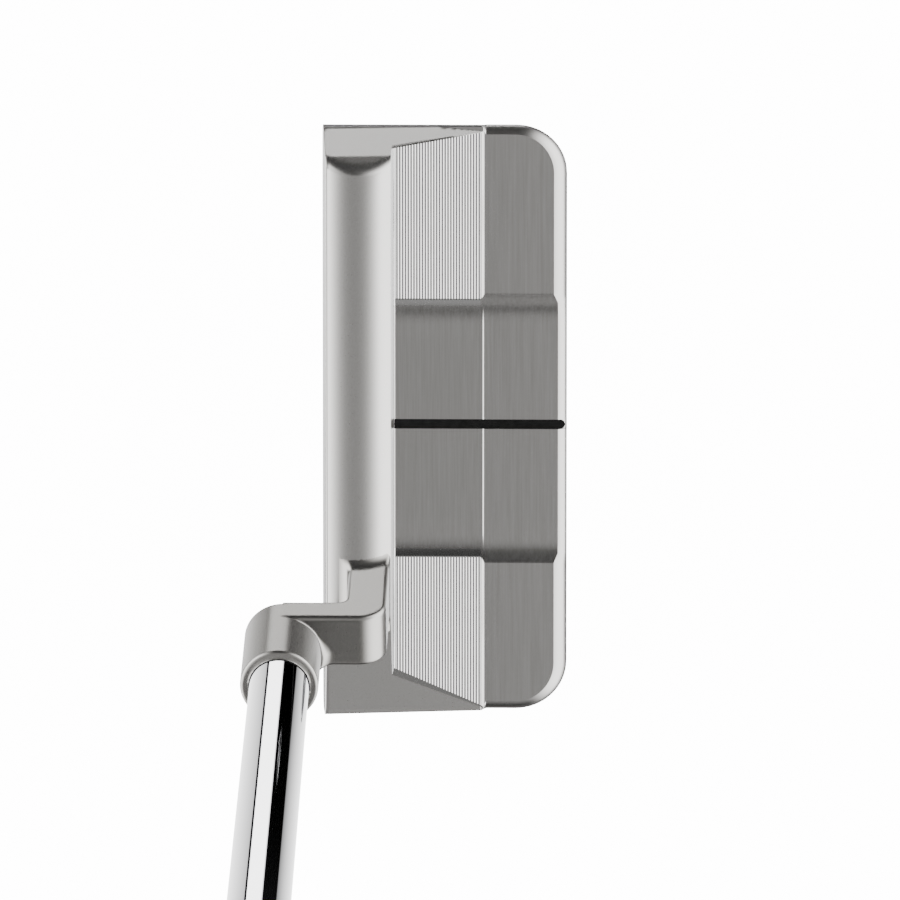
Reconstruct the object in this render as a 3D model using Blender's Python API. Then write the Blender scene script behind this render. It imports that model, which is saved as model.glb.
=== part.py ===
"""Putter with a milled wide-blade head, an L-shaped neck, a tapered steel shaft and a pistol grip.

Frame: origin on the ground under the sole's flat, below the sight line. +X points to the heel and
the player, -X to the toe, -Y to the target, +Y to the rear and +Z up. Metres; the constants below
are in millimetres and go through MM.
"""

import math

import bmesh
import bpy
from mathutils import Matrix, Vector

MM = 0.001

# ---- head -------------------------------------------------------------------------------------
TOE_X = -54.1
HEEL_X = 51.7
REAR_Y = 21.6
FACE_TOP_Y = -21.1
FACE_TOP_Z = 22.4
FACE_LOFT = math.radians(4.0)
LEADING_EDGE_Z = 1.5
CROWN_Y = -16.3
CROWN_Z = 24.2
WALL_Y = -9.5           # the topline's vertical rear wall
WALL_TOP_Z = 20.8
FIELD_Z = 6.8           # the grooved fields
STEP_Y = 6.6            # the fields' rear edge, where the flange rises
FLANGE_Z = 7.4
EDGE_WIDTH = 2.2        # the flange's rounded rear edge
EDGE_DROP = 1.9
CHANNEL_X = 0.6         # the channel's middle, a little to the heel side of the sight line
CHANNEL_FLAT = 18.5     # half-width of its flat floor
CHANNEL_FLOOR_Z = 5.4
CHANNEL_RADIUS = 9.4
SOLE_FLAT_X = 18.0
SOLE_FLAT_Y = (-12.0, 9.0)
SOLE_END_RISE = 1.25
END_WALL_Z = 6.0        # where the sole's rounded ends meet the toe and heel walls
END_ROUND = 4.2
REAR_CORNER = (8.6, 9.2)    # the rear corners' size along X and along Y
FRONT_CORNER = 0.8

# The shoulders are planes: height at a corner, rise per mm along X, rise per mm along Y.
SHOULDER_FALL_Y = -0.2
TOE_SHOULDER = (10.5, 2.45)
TOE_RAMP = (21.4, 1.8, -49.65)
HEEL_SHOULDER = (14.2, 0.524, 50.7)
SHOULDER_REF_Y = -21.0
TOE_BUMPER_INNER = ((-50.7, WALL_Y), (-52.9, STEP_Y))
HEEL_BUMPER_INNER = ((44.2, WALL_Y), (51.1, STEP_Y))

# ---- sight line -------------------------------------------------------------------------------
LINE_WIDTH = 1.7
LINE_DEPTH = 0.5
LINE_REAR_Y = 21.0
LINE_PAINT_GAP = 0.05
LINE_PAINT_DEPTH = 0.4

# ---- sole weights -----------------------------------------------------------------------------
WEIGHT_X = {"toe": -38.0, "heel": 36.0}
WEIGHT_Y = 3.0
WEIGHT_FACE_Z = 0.9
WEIGHT_HEAD = (5.6, 1.5)        # radius and thickness
WEIGHT_STEM = (3.9, 3.0)        # radius and length
WEIGHT_GAP = 0.3
WEIGHT_SOCKET = (2.3, 1.2)      # hexagonal key socket: corner radius and depth
RING_RADIUS = 4.9
RING_WIRE = 0.38

# ---- neck and shaft ---------------------------------------------------------------------------
LIE = math.radians(70.0)
RIM_CENTRE = Vector((41.0, -28.0, 53.0))
BARREL_RADIUS = 6.93
BARREL_LENGTH = 19.3
RIM_ROUND = 0.65
ARM_HEIGHT = 6.2
ARM_HEEL_SIDE = 2.8             # the arm's and leg's heel side, from the shaft's axis
LEG_FRONT_Y = -16.8
NECK_REAR_Y = -9.9
NECK_BEND = 5.0
NECK_GAP = 0.3
TENON_RADIUS = 2.4
TENON_DEPTH = 8.0
TENON_Y = -14.2
TENON_GAP = 0.03
BORE_RADIUS = 5.45
BORE_DEPTH = 17.0

CLUB_LENGTH = 864.0             # along the shaft's axis, from the ground to the grip's end
SHAFT_RIM_RADIUS = 5.25
SHAFT_BUTT_RADIUS = 7.5
SHAFT_WALL = 0.6
SHAFT_TIP = -16.5
SHAFT_BUTT_INSET = 3.4
EPOXY_WALL = 0.12
EPOXY_TOP = -0.25
PLUG_LENGTH = 12.0

GRIP_LENGTH = 267.0
GRIP_MOUTH_RADIUS = 9.6
TAPE_WALL = 0.35
FIT_GAP = 0.03
CAP_THICKNESS = 3.0
CAP_VENT_RADIUS = 1.5
CAP_TOP_SCALE = 0.93

ROUND = 48                      # segments of the shaft, its fittings and the barrel
AXIS = Vector((math.cos(LIE), 0.0, math.sin(LIE)))
ACROSS = Vector((math.sin(LIE), 0.0, -math.cos(LIE)))
RIM_ABOVE_GROUND = RIM_CENTRE.z / AXIS.z
CLUB_END = CLUB_LENGTH - RIM_ABOVE_GROUND


# ---- mesh helpers -----------------------------------------------------------------------------
def clear_scene():
    for ob in list(bpy.data.objects):
        bpy.data.objects.remove(ob)


def make_object(name, bm):
    """A scene object in metres from a bmesh in millimetres, with its faces pointing out."""
    bmesh.ops.transform(bm, matrix=Matrix.Scale(MM, 4), verts=bm.verts)
    bmesh.ops.recalc_face_normals(bm, faces=bm.faces)
    mesh = bpy.data.meshes.new(name)
    bm.to_mesh(mesh)
    bm.free()
    ob = bpy.data.objects.new(name, mesh)
    bpy.context.scene.collection.objects.link(ob)
    return ob


def prism(name, low, high):
    """A closed solid between two loops of equally many points."""
    bm = bmesh.new()
    bottom = [bm.verts.new(p) for p in low]
    top = [bm.verts.new(p) for p in high]
    bm.faces.new(bottom)
    bm.faces.new(top[::-1])
    for i in range(len(low)):
        j = (i + 1) % len(low)
        bm.faces.new((bottom[j], bottom[i], top[i], top[j]))
    return make_object(name, bm)


def along_x(name, outline_yz, x0, x1):
    return prism(name, [(x0, y, z) for y, z in outline_yz], [(x1, y, z) for y, z in outline_yz])


def along_y(name, outline_xz, y0, y1):
    return prism(name, [(x, y0, z) for x, z in outline_xz], [(x, y1, z) for x, z in outline_xz])


def along_z(name, outline_xy, z0, z1):
    return prism(name, [(x, y, z0) for x, y in outline_xy], [(x, y, z1) for x, y in outline_xy])


def arc(centre, radii, start, end, steps):
    """Points of an elliptical arc, angles in degrees."""
    points = []
    for i in range(steps + 1):
        a = math.radians(start + (end - start) * i / steps)
        points.append((centre[0] + radii[0] * math.cos(a), centre[1] + radii[1] * math.sin(a)))
    return points


def boolean(target, tool, operation):
    """Applies one boolean to the target and removes the tool."""
    mod = target.modifiers.new("cut", "BOOLEAN")
    mod.operation = operation
    mod.solver = "EXACT"
    mod.object = tool
    bpy.context.view_layer.update()
    graph = bpy.context.evaluated_depsgraph_get()
    mesh = bpy.data.meshes.new_from_object(target.evaluated_get(graph))
    target.modifiers.clear()
    target.data = mesh
    bpy.data.objects.remove(tool)
    return target


def revolve(name, profile, frame, segments=ROUND):
    """A turned solid: a closed profile of (radius, height), placed by a matrix in millimetres.
    A point at radius 0 becomes one vertex on the axis."""
    bm = bmesh.new()
    rings = []
    for radius, height in profile:
        if radius == 0.0:
            rings.append([bm.verts.new((0.0, 0.0, height))] * segments)
            continue
        turn = [2.0 * math.pi * i / segments for i in range(segments)]
        rings.append([bm.verts.new((radius * math.cos(a), radius * math.sin(a), height)) for a in turn])
    for k, ring in enumerate(rings):
        after = rings[(k + 1) % len(rings)]
        for i in range(segments):
            j = (i + 1) % segments
            corners = []
            for v in (ring[i], ring[j], after[j], after[i]):
                if v not in corners:
                    corners.append(v)
            if len(corners) > 2:
                bm.faces.new(corners)
    bmesh.ops.transform(bm, matrix=frame, verts=bm.verts)
    return make_object(name, bm)


def axis_frame(offset=0.0, y=RIM_CENTRE.y, along=0.0):
    """A frame whose Z is the shaft's axis, with its origin on the rim's plane moved across and along."""
    origin = RIM_CENTRE + ACROSS * offset + AXIS * along
    origin.y = y
    side = AXIS.cross(ACROSS)
    return Matrix.Translation(origin) @ Matrix((ACROSS, side, AXIS)).transposed().to_4x4()


def standing_frame(x, y, z):
    return Matrix.Translation(Vector((x, y, z)))


def smooth(ob, angle=35.0):
    ob.data.shade_smooth()
    ob.data.set_sharp_from_angle(angle=math.radians(angle))


def material(ob, name, colour, metallic, roughness):
    mat = bpy.data.materials.get(name)
    if mat is None:
        mat = bpy.data.materials.new(name)
        mat.use_nodes = True
        shader = mat.node_tree.nodes["Principled BSDF"]
        shader.inputs["Base Color"].default_value = (*colour, 1.0)
        shader.inputs["Metallic"].default_value = metallic
        shader.inputs["Roughness"].default_value = roughness
    ob.data.materials.clear()
    ob.data.materials.append(mat)


# ---- head -------------------------------------------------------------------------------------
def dome_arc(steps=10, lift=0.0):
    """The topline's arc, from its front edge over the crown to the rear wall."""
    (y1, z1), (y2, z2), (y3, z3) = (
        (FACE_TOP_Y, FACE_TOP_Z), (CROWN_Y, CROWN_Z), (WALL_Y, WALL_TOP_Z))
    d = 2.0 * (y1 * (z2 - z3) + y2 * (z3 - z1) + y3 * (z1 - z2))
    s1, s2, s3 = y1 * y1 + z1 * z1, y2 * y2 + z2 * z2, y3 * y3 + z3 * z3
    cy = (s1 * (z2 - z3) + s2 * (z3 - z1) + s3 * (z1 - z2)) / d
    cz = (s1 * (y3 - y2) + s2 * (y1 - y3) + s3 * (y2 - y1)) / d
    radius = math.hypot(y1 - cy, z1 - cz) + lift
    start = math.degrees(math.atan2(z1 - cz, y1 - cy))
    end = math.degrees(math.atan2(z3 - cz, y3 - cy))
    return arc((cy, cz), (radius, radius), start, end, steps)


def leading_edge_y():
    return FACE_TOP_Y - (FACE_TOP_Z - LEADING_EDGE_Z) * math.tan(FACE_LOFT)


def face_block():
    front = leading_edge_y()
    outline = [
        (WALL_Y, 0.0), (SOLE_FLAT_Y[0], 0.0), (front + 0.9, 0.6), (front, LEADING_EDGE_Z)]
    return along_x("head_body", outline + dome_arc(), TOE_X, HEEL_X)


def rear_plate():
    """Cavity floor and flange, with the central channel and the sight line cut into them."""
    front = WALL_Y - 3.0
    outline = [
        (front, 0.0), (SOLE_FLAT_Y[1], 0.0), (REAR_Y - 0.9, 1.2), (REAR_Y, 2.1),
        (REAR_Y, FLANGE_Z - EDGE_DROP), (REAR_Y - 0.35 * EDGE_WIDTH, FLANGE_Z - 0.4 * EDGE_DROP),
        (REAR_Y - EDGE_WIDTH, FLANGE_Z), (STEP_Y + 0.4, FLANGE_Z), (STEP_Y, FIELD_Z), (front, FIELD_Z)]
    plate = along_x("plate", outline, TOE_X, HEEL_X)
    top = CHANNEL_FLOOR_Z + CHANNEL_RADIUS
    right = arc((CHANNEL_X + CHANNEL_FLAT, top), (CHANNEL_RADIUS, CHANNEL_RADIUS), -90.0, 0.0, 10)
    left = [(2.0 * CHANNEL_X - x, z) for x, z in reversed(right)]
    boolean(plate, along_y("channel", left + right, front - 1.0, REAR_Y + 1.0), "DIFFERENCE")
    half = LINE_WIDTH / 2.0
    end = arc((0.0, LINE_REAR_Y - half), (half, half), 0.0, 180.0, 8)
    slot = [(half, front - 1.0)] + end + [(-half, front - 1.0)]
    floor = CHANNEL_FLOOR_Z - LINE_DEPTH
    return boolean(plate, along_z("slot", slot, floor, floor + 3.0), "DIFFERENCE")


def bumper(inner, outer_x):
    """A wedge at the toe or heel, from the topline to the flange, narrowing rearwards."""
    (x0, y0), (x1, y1) = inner
    outline = [(x0, y0 - 2.0), (x0, y0), (x1, y1), (outer_x, y1), (outer_x, y0 - 2.0)]
    return along_z("bumper", outline, 2.0, CROWN_Z)


def plan_trim():
    """The head's plan outline, with rounded rear corners and eased front corners."""
    front = leading_edge_y() - 1.0
    rx, ry = REAR_CORNER
    outline = [(TOE_X, front), (HEEL_X, front)]
    outline += arc((HEEL_X - rx, REAR_Y - ry), (rx, ry), 0.0, 90.0, 10)
    outline += arc((TOE_X + rx, REAR_Y - ry), (rx, ry), 90.0, 180.0, 10)
    return along_z("plan", outline, -1.0, CROWN_Z + 2.0)


def end_trim():
    """The sole's rise towards the toe and the heel, seen from the front."""
    top = CROWN_Z + 2.0
    rise = END_WALL_Z - SOLE_END_RISE
    toe_end = arc((TOE_X + END_ROUND, END_WALL_Z), (END_ROUND, rise), 180.0, 270.0, 6)
    heel_end = arc((HEEL_X - END_ROUND, END_WALL_Z), (END_ROUND, rise), 270.0, 360.0, 6)
    flat = [(-SOLE_FLAT_X, 0.0), (SOLE_FLAT_X, 0.0)]
    outline = [(TOE_X, top)] + toe_end + flat + heel_end + [(HEEL_X, top)]
    return along_y("ends", outline, leading_edge_y() - 1.0, REAR_Y + 1.0)


def above_plane(z_ref, slope_x, x_ref, x0, x1):
    """A cutter that removes what stands above a sloping shoulder plane."""
    y0, y1 = leading_edge_y() - 2.0, REAR_Y + 2.0

    def height(x, y):
        return z_ref + slope_x * (x - x_ref) + SHOULDER_FALL_Y * (y - SHOULDER_REF_Y)

    corners = [(x0, y0), (x1, y0), (x1, y1), (x0, y1)]
    return prism("shoulder", [(x, y, height(x, y)) for x, y in corners], [(x, y, 60.0) for x, y in corners])


def weight_pocket(x):
    head_r, head_t = WEIGHT_HEAD
    stem_r, stem_l = WEIGHT_STEM
    ledge = WEIGHT_FACE_Z + head_t + 2.0 * RING_WIRE + 0.1
    top = WEIGHT_FACE_Z + head_t + stem_l + WEIGHT_GAP
    profile = [
        (0.0, -1.0), (head_r + WEIGHT_GAP, -1.0), (head_r + WEIGHT_GAP, ledge),
        (stem_r + WEIGHT_GAP, ledge), (stem_r + WEIGHT_GAP, top), (0.0, top)]
    return revolve("pocket", profile, standing_frame(x, WEIGHT_Y, 0.0), 32)


def tenon_frame():
    offset = (ARM_HEEL_SIDE - BARREL_RADIUS) / 2.0
    return axis_frame(offset, TENON_Y, -BARREL_LENGTH)


def tenon_foot():
    """Height, along the neck's axis from the barrel's lower end, where the tenon ends."""
    origin = tenon_frame().translation
    return (CROWN_Z - TENON_DEPTH - origin.z) / AXIS.z


def make_head():
    head = boolean(face_block(), rear_plate(), "UNION")
    boolean(head, bumper(TOE_BUMPER_INNER, TOE_X), "UNION")
    boolean(head, bumper(HEEL_BUMPER_INNER, HEEL_X), "UNION")
    boolean(head, plan_trim(), "INTERSECT")
    boolean(head, end_trim(), "INTERSECT")
    z_ref, slope = TOE_SHOULDER
    boolean(head, above_plane(z_ref, slope, TOE_X, TOE_X - 4.0, TOE_X + 12.0), "DIFFERENCE")
    z_ref, slope, x_ref = TOE_RAMP
    boolean(head, above_plane(z_ref, slope, x_ref, TOE_X - 4.0, TOE_X + 14.0), "DIFFERENCE")
    z_ref, slope, x_ref = HEEL_SHOULDER
    boolean(head, above_plane(z_ref, -slope, x_ref, 24.0, HEEL_X + 4.0), "DIFFERENCE")
    for x in WEIGHT_X.values():
        boolean(head, weight_pocket(x), "DIFFERENCE")
    radius = TENON_RADIUS + TENON_GAP
    foot = tenon_foot() - NECK_GAP
    socket = revolve("socket", [(0.0, foot), (radius, foot), (radius, 8.0), (0.0, 8.0)], tenon_frame(), 32)
    boolean(head, socket, "DIFFERENCE")
    smooth(head, 20.0)
    material(head, "satin_stainless", (0.56, 0.55, 0.53), 1.0, 0.32)


def make_sight_line():
    front = WALL_Y + LINE_PAINT_GAP
    half = LINE_WIDTH / 2.0 - LINE_PAINT_GAP
    end_y = LINE_REAR_Y - LINE_WIDTH / 2.0
    outline = [(half, front)] + arc((0.0, end_y), (half, half), 0.0, 180.0, 8) + [(-half, front)]
    floor = CHANNEL_FLOOR_Z - LINE_DEPTH + LINE_PAINT_GAP
    line = along_z("sight_line_paint", outline, floor, floor + LINE_PAINT_DEPTH)
    material(line, "black_enamel", (0.01, 0.01, 0.01), 0.0, 0.4)


def make_weight(side):
    head_r, head_t = WEIGHT_HEAD
    stem_r, stem_l = WEIGHT_STEM
    x = WEIGHT_X[side]
    profile = [
        (0.0, 0.0), (head_r - 0.4, 0.0), (head_r, 0.4), (head_r, head_t),
        (stem_r, head_t), (stem_r, head_t + stem_l), (0.0, head_t + stem_l)]
    weight = revolve(side + "_weight", profile, standing_frame(x, WEIGHT_Y, WEIGHT_FACE_Z), 32)
    hexagon = arc((x, WEIGHT_Y), (WEIGHT_SOCKET[0], WEIGHT_SOCKET[0]), 0.0, 300.0, 5)
    key = along_z("key", hexagon, -1.0, WEIGHT_FACE_Z + WEIGHT_SOCKET[1])
    boolean(weight, key, "DIFFERENCE")
    smooth(weight)
    material(weight, "weight_steel", (0.45, 0.45, 0.46), 1.0, 0.3)
    ring_z = WEIGHT_FACE_Z + head_t + RING_WIRE + 0.05
    section = arc((RING_RADIUS, ring_z), (RING_WIRE, RING_WIRE), 0.0, 315.0, 7)
    washer = revolve(side + "_weight_washer", section, standing_frame(x, WEIGHT_Y, 0.0), 32)
    smooth(washer)
    material(washer, "black_rubber", (0.02, 0.02, 0.02), 0.0, 0.7)


# ---- neck -------------------------------------------------------------------------------------
def neck_block(name, outline_y_along, side_low, side_high):
    """A slab of the neck: an outline of (y, height along the axis), with a width across the axis."""
    faces = []
    for offset in (side_low, side_high):
        loop = []
        for y, along in outline_y_along:
            p = RIM_CENTRE + ACROSS * offset + AXIS * along
            loop.append((p.x, y, p.z))
        faces.append(loop)
    return prism(name, faces[0], faces[1])


def make_neck():
    bottom = -BARREL_LENGTH
    barrel = [
        (0.0, bottom), (BARREL_RADIUS - 1.2, bottom), (BARREL_RADIUS, bottom + 1.2),
        (BARREL_RADIUS, -RIM_ROUND), (BARREL_RADIUS - 0.2, -0.2), (BARREL_RADIUS - RIM_ROUND, 0.0),
        (0.0, 0.0)]
    neck = revolve("hosel_neck", barrel, axis_frame())
    top = bottom + ARM_HEIGHT
    foot = bottom - 16.0
    bend = arc((NECK_REAR_Y - NECK_BEND, top - NECK_BEND), (NECK_BEND, NECK_BEND), 90.0, 0.0, 6)
    inner = 1.6
    elbow = arc((LEG_FRONT_Y - inner, bottom - inner), (inner, inner), 0.0, 90.0, 4)
    outline = [(RIM_CENTRE.y, top)] + bend + [(NECK_REAR_Y, foot), (LEG_FRONT_Y, foot)] + elbow
    outline += [(RIM_CENTRE.y, bottom + 0.02)]
    arm = neck_block("arm", outline, -BARREL_RADIUS + 0.02, ARM_HEEL_SIDE)
    boolean(neck, arm, "UNION")
    # The foot follows the domed topline a hair above it, with a tenon into the head's socket.
    low_y = leading_edge_y() - 3.0
    dome = dome_arc(10, NECK_GAP)
    seat = [(2.0, -1.0), (low_y, -1.0), (low_y, dome[0][1])] + dome + [(2.0, dome[-1][1])]
    boolean(neck, along_x("seat", seat, 0.0, 60.0), "DIFFERENCE")
    foot = tenon_foot()
    tenon = revolve(
        "tenon", [(0.0, foot), (TENON_RADIUS, foot), (TENON_RADIUS, 3.0), (0.0, 3.0)], tenon_frame(), 32)
    boolean(neck, tenon, "UNION")
    hole = [(0.0, -BORE_DEPTH), (BORE_RADIUS, -BORE_DEPTH), (BORE_RADIUS, 3.0), (0.0, 3.0)]
    bore = revolve("bore", hole, axis_frame())
    boolean(neck, bore, "DIFFERENCE")
    smooth(neck, 30.0)
    material(neck, "satin_stainless", (0.56, 0.55, 0.53), 1.0, 0.32)


# ---- shaft and grip ---------------------------------------------------------------------------
def shaft_radius(along):
    """The shaft's even taper, from the barrel's rim to the butt."""
    return SHAFT_RIM_RADIUS + (SHAFT_BUTT_RADIUS - SHAFT_RIM_RADIUS) * along / CLUB_END


def make_shaft():
    end = CLUB_END - SHAFT_BUTT_INSET
    outer = [(shaft_radius(SHAFT_TIP), SHAFT_TIP), (shaft_radius(end), end)]
    inner = [(shaft_radius(end) - SHAFT_WALL, end), (shaft_radius(SHAFT_TIP) - SHAFT_WALL, SHAFT_TIP)]
    shaft = revolve("shaft", outer + inner, axis_frame())
    smooth(shaft)
    material(shaft, "chrome", (0.8, 0.8, 0.8), 1.0, 0.04)

    tip = shaft_radius(SHAFT_TIP) + FIT_GAP
    mouth = shaft_radius(EPOXY_TOP) + FIT_GAP
    sleeve = [
        (tip, SHAFT_TIP), (tip + EPOXY_WALL, SHAFT_TIP), (mouth + EPOXY_WALL, EPOXY_TOP), (mouth, EPOXY_TOP)]
    epoxy = revolve("shaft_epoxy", sleeve, axis_frame())
    smooth(epoxy)
    material(epoxy, "epoxy", (0.05, 0.05, 0.05), 0.0, 0.4)

    low = SHAFT_TIP + 0.3
    high = low + PLUG_LENGTH
    bore = shaft_radius(low) - SHAFT_WALL - FIT_GAP
    plug = revolve(
        "shaft_tip_plug", [(0.0, low), (bore, low), (bore - 0.3, high), (0.0, high)], axis_frame())
    smooth(plug)
    material(plug, "plug_nylon", (0.7, 0.66, 0.5), 0.0, 0.6)


def grip_section(share):
    """Half-width, front flat and rear belly of the grip, share 0 at its mouth and 1 at its end."""
    swell = share * share * (3.0 - 2.0 * share)
    width = GRIP_MOUTH_RADIUS + (12.2 - GRIP_MOUTH_RADIUS) * swell
    front = GRIP_MOUTH_RADIUS + (10.6 - GRIP_MOUTH_RADIUS) * swell
    pistol = math.exp(-((share - 0.97) / 0.22) ** 2)
    belly = GRIP_MOUTH_RADIUS + (11.4 - GRIP_MOUTH_RADIUS) * swell + 4.6 * pistol
    return width, front, belly


def grip_outline(share, count):
    """One cross-section of the grip, flat on the thumbs' side and round on the fingers' side."""
    width, front, belly = grip_section(share)
    squareness = 2.0 + 1.6 * min(1.0, share * 4.0)
    points = []
    for i in range(count):
        a = 2.0 * math.pi * i / count
        c, s = math.cos(a), math.sin(a)
        power = squareness if c < 0.0 else 2.0
        reach = front if c < 0.0 else belly
        u = math.copysign(abs(c) ** (2.0 / power), c) * reach
        v = math.copysign(abs(s) ** (2.0 / power), s) * width
        points.append((u, v))
    return points


def make_grip():
    low, high = CLUB_END - GRIP_LENGTH, CLUB_END - CAP_THICKNESS - 0.3
    stations = 18
    bm = bmesh.new()
    outer = []
    inner = []
    frame = axis_frame()
    for k in range(stations + 1):
        along = low + (high - low) * k / stations
        share = (along - low) / GRIP_LENGTH
        bore = shaft_radius(along) + TAPE_WALL + 2.0 * FIT_GAP
        outer.append([bm.verts.new(frame @ Vector((u, v, along))) for u, v in grip_outline(share, ROUND)])
        ring = [2.0 * math.pi * i / ROUND for i in range(ROUND)]
        if k in (0, stations):
            inner.append(
                [bm.verts.new(frame @ Vector((bore * math.cos(a), bore * math.sin(a), along))) for a in ring])
    loops = outer + inner[::-1]
    for k, loop in enumerate(loops):
        after = loops[(k + 1) % len(loops)]
        for i in range(ROUND):
            j = (i + 1) % ROUND
            bm.faces.new((loop[i], loop[j], after[j], after[i]))
    grip = make_object("grip_body", bm)
    smooth(grip, 50.0)
    material(grip, "grip_rubber", (0.03, 0.03, 0.03), 0.0, 0.75)

    tape_end = CLUB_END - SHAFT_BUTT_INSET - 1.0
    inside, outside = FIT_GAP, FIT_GAP + TAPE_WALL - 0.03
    tape_low = low + 4.0
    sleeve = [
        (shaft_radius(tape_low) + inside, tape_low), (shaft_radius(tape_low) + outside, tape_low),
        (shaft_radius(tape_end) + outside, tape_end), (shaft_radius(tape_end) + inside, tape_end)]
    tape = revolve("grip_tape", sleeve, axis_frame())
    smooth(tape)
    material(tape, "masking_tape", (0.75, 0.7, 0.55), 0.0, 0.8)

    base = CLUB_END - CAP_THICKNESS
    rim = grip_outline(1.0, ROUND)
    bm = bmesh.new()
    levels = [(base, 1.0), (base + 0.6 * CAP_THICKNESS, 1.0), (CLUB_END, CAP_TOP_SCALE)]
    rings = []
    for along, scale in levels:
        rings.append([bm.verts.new(frame @ Vector((u * scale, v * scale, along))) for u, v in rim])
    for lower, upper in zip(rings, rings[1:]):
        for i in range(ROUND):
            j = (i + 1) % ROUND
            bm.faces.new((lower[i], lower[j], upper[j], upper[i]))
    bm.faces.new(rings[0][::-1])
    bm.faces.new(rings[-1])
    cap = make_object("grip_cap", bm)
    vent_low, vent_high = base - 1.0, CLUB_END + 1.0
    vent = [
        (0.0, vent_low), (CAP_VENT_RADIUS, vent_low), (CAP_VENT_RADIUS, vent_high), (0.0, vent_high)]
    boolean(cap, revolve("vent", vent, axis_frame(), 16), "DIFFERENCE")
    smooth(cap, 40.0)
    material(cap, "cap_plastic", (0.025, 0.025, 0.025), 0.0, 0.45)


def main():
    clear_scene()
    make_head()
    make_sight_line()
    for side in WEIGHT_X:
        make_weight(side)
    make_neck()
    make_shaft()
    make_grip()


main()
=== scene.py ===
"""Looks of the milled putter: refined surfaces, finishes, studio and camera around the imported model.

Shapes are worked out in millimetres in the model's own frame: +X heel, -X toe, -Y target, +Y rear,
+Z up, with the origin on the ground under the sight line.
"""

import math

import bmesh
import bpy
import numpy as np
from mathutils import Matrix, Vector


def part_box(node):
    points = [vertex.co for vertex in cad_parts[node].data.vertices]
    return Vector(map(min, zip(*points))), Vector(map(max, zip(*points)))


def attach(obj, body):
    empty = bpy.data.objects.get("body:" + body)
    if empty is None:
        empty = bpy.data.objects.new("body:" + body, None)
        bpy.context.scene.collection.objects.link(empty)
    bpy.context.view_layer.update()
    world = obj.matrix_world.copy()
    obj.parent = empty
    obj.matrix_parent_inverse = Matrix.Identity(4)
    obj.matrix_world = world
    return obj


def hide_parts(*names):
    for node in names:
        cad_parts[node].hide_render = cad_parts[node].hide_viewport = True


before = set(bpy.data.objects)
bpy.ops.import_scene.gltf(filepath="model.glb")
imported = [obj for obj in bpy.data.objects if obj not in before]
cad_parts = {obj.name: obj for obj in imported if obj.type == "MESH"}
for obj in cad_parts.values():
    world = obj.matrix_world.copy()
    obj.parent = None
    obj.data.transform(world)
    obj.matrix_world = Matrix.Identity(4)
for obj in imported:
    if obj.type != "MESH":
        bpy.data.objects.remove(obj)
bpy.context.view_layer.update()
MM = 0.001


def box_mm(node):
    """A node's lowest and highest corners in millimetres."""
    low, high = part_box(node)
    return np.array(low) / MM, np.array(high) / MM


# ---- driving dimensions, in millimetres --------------------------------------------------------
HEAD_LOW, HEAD_HIGH = box_mm("head_body")
TOE_X, HEEL_X = HEAD_LOW[0], HEAD_HIGH[0]
REAR_Y = HEAD_HIGH[1]

FACE_TOP_Y = -21.1
FACE_TOP_Z = 22.4
FACE_LOFT = math.tan(math.radians(4.0))
CROWN_Y = -16.3
CROWN_Z = 24.2
WALL_Y = -9.5
WALL_TOP_Z = 20.8
FIELD_Z = 6.8
STEP_Y = 6.6
FLANGE_Z = 7.4
CHANNEL_X = 0.6
CHANNEL_FLAT = 18.5
CHANNEL_FLOOR_Z = 5.4
CHANNEL_RADIUS = 9.4
CORNER_X, CORNER_Y = 8.6, 9.2

SHOULDER_FALL_Y = -0.2
SHOULDER_REF_Y = -21.0
TOE_CREASE_X = -49.65
TOE_BUMPER_X = (-50.7, -52.9)
HEEL_BUMPER_X = (44.2, 51.1)
END_WALL_Z = 6.0
END_ROUND = 4.2

GROOVES = 30
GROOVE_START, GROOVE_END = -9.14, 6.15
GROOVE_DEPTH = 0.09
GROOVE_ROWS = 6

BUMPER_CHAMFER = 0.22
EDGE_SIDE = 0.35            # rounding along the face, topline and bumpers
EDGE_FLANGE_SIDE = 1.6      # width of the flange's rounded edge at toe and heel
EDGE_FLANGE_REAR = 2.25
EDGE_CHANNEL_REAR = 1.55
SOLE_EDGE = 0.8

LINE_HALF = 0.85
LINE_DEPTH = 0.5
LINE_REAR_Y = 21.3

LIE = math.radians(70.0)
AXIS = Vector((math.cos(LIE), 0.0, math.sin(LIE)))
ACROSS = Vector((math.sin(LIE), 0.0, -math.cos(LIE)))
RIM_CENTRE = Vector((41.0, -28.0, 53.0))
CLUB_END = 864.0 - RIM_CENTRE.z / AXIS.z
BARREL_RADIUS = 6.93
BARREL_LENGTH = 19.3
ARM_HEIGHT = 6.2
ARM_HEEL_SIDE = 2.8
LEG_FRONT_Y = -16.8
NECK_REAR_Y = -9.7
BORE_RADIUS = 5.45


# ---- mesh helpers ------------------------------------------------------------------------------
def new_piece(name, mesh, body, slot, *replaced):
    """Puts a mesh in the scene as a piece that rides on a body and stands for CAD nodes."""
    ob = bpy.data.objects.new(name, mesh)
    bpy.context.scene.collection.objects.link(ob)
    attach(ob, body)
    if replaced:
        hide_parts(*replaced)
    return ob


def mesh_from(name, points, faces):
    """A mesh in metres from points in millimetres."""
    mesh = bpy.data.meshes.new(name)
    mesh.from_pydata([tuple(p) for p in np.asarray(points) * MM], [], [tuple(f) for f in faces])
    mesh.validate()
    return mesh


def smooth_mesh(mesh, angle):
    mesh.shade_smooth()
    mesh.set_sharp_from_angle(angle=math.radians(angle))


def smoothstep(t):
    t = np.clip(t, 0.0, 1.0)
    return t * t * (3.0 - 2.0 * t)


def soft_min(a, b, k):
    h = np.clip(0.5 + 0.5 * (b - a) / k, 0.0, 1.0)
    return b * (1.0 - h) + a * h - k * h * (1.0 - h)


def soft_max(a, b, k):
    return -soft_min(-a, -b, k)


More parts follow.
